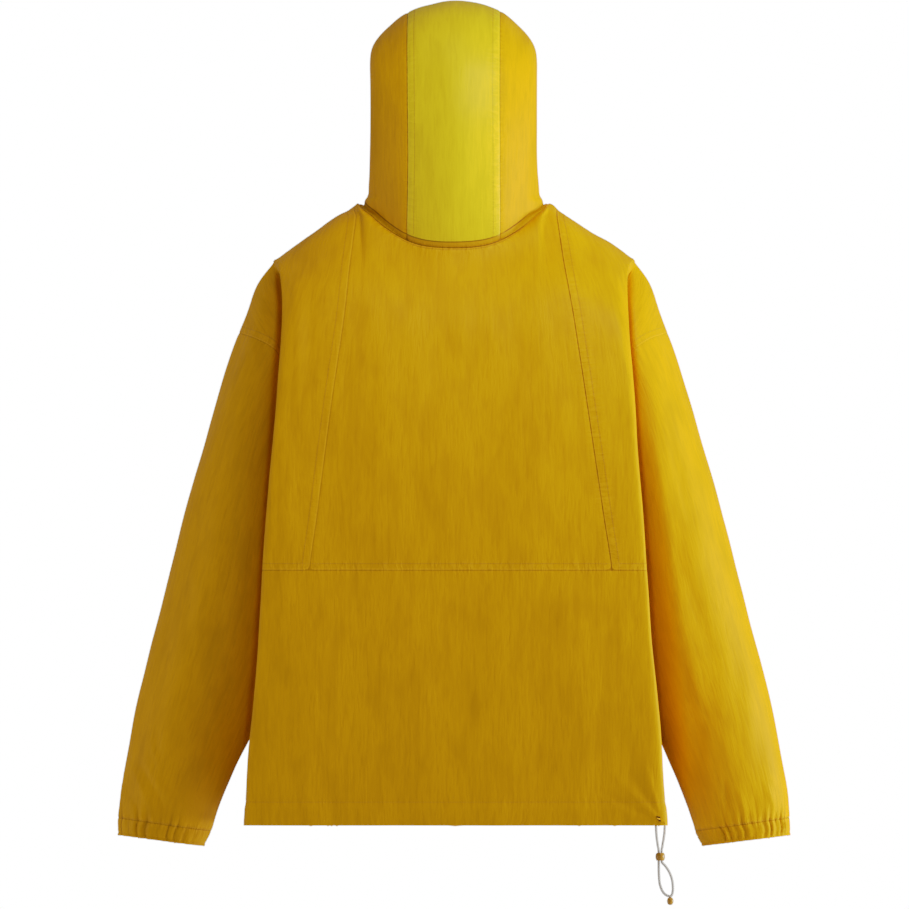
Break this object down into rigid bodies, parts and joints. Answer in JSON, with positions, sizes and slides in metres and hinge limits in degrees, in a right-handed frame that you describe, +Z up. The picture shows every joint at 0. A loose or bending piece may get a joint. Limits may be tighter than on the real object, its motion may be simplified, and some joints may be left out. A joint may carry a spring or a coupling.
{
  "type": "anorak pullover",
  "caption": "Hooded anorak pullover in light nylon, filled out as if worn, with a tapered back panel, drop shoulders, elastic cuffs and a hem cord with a bead stopper.",
  "frame": {"origin": "between the wearer's shoulders, level with the sides of the neck, where the wearer carries the garment", "axes": "+Z up, -Y the way the wearer faces, +X the wearer's left"},
  "size_m": [0.8122, 0.2693, 1.0849],
  "materials": {
    "nylon": "crinkled ochre nylon, slight sheen",
    "nylon_centre": "crinkled yellow nylon, slight sheen",
    "cord": "pale grey elastic cord, satin",
    "bead": "ochre moulded plastic, satin"
  },
  "bodies": {
    "root": {"back_centre": "nylon", "back_side_left": "nylon", "back_side_right": "nylon", "back_lower": "nylon", "front": "nylon", "sleeve_left": "nylon", "sleeve_right": "nylon", "cuff_left": "nylon", "cuff_right": "nylon", "hood_centre": "nylon_centre", "hood_side_left": "nylon", "hood_side_right": "nylon", "hem_cord": "cord", "cord_stopper": "bead", "cord_end": "bead"}
  },
  "joints": []
}
